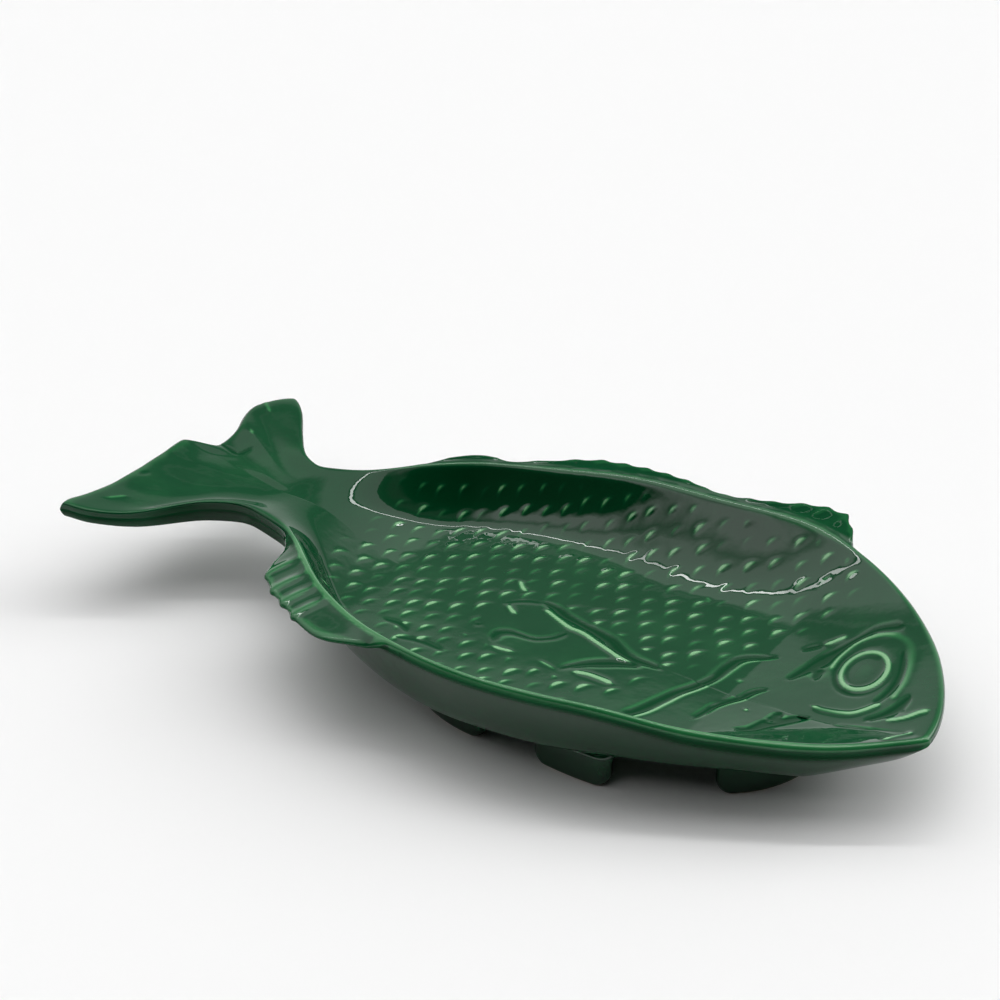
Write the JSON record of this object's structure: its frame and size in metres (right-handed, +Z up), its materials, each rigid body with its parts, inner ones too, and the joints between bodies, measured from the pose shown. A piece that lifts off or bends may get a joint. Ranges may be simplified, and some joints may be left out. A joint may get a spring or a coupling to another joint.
{
  "type": "fish-shaped platter",
  "caption": "Glazed earthenware serving platter shaped as a whole fish, with a deep well, a forked tail, rayed fins and an interrupted foot ring.",
  "frame": {"origin": "centre of the platter's plan extents, on the plane that the foot ring stands on", "axes": "+X along the fish from its tail towards its head, +Y towards its back, +Z up"},
  "size_m": [0.334, 0.1738, 0.0462],
  "materials": {
    "glaze": "deep green transparent gloss glaze",
    "glaze_thin": "the same glaze, paler where it thins on raised relief",
    "foot_glaze": "the same glaze on the foot ring, wiped off the face that it stands on"
  },
  "bodies": {
    "root": {"dish": "glaze", "tail_fin": "glaze", "dorsal_fin": "glaze", "anal_fin": "glaze", "pectoral_fin": "glaze_thin", "eye_ring": "glaze_thin", "eye_pupil": "glaze_thin", "foot_tail": "foot_glaze", "foot_belly": "foot_glaze", "foot_head": "foot_glaze", "foot_back": "foot_glaze"}
  },
  "joints": []
}
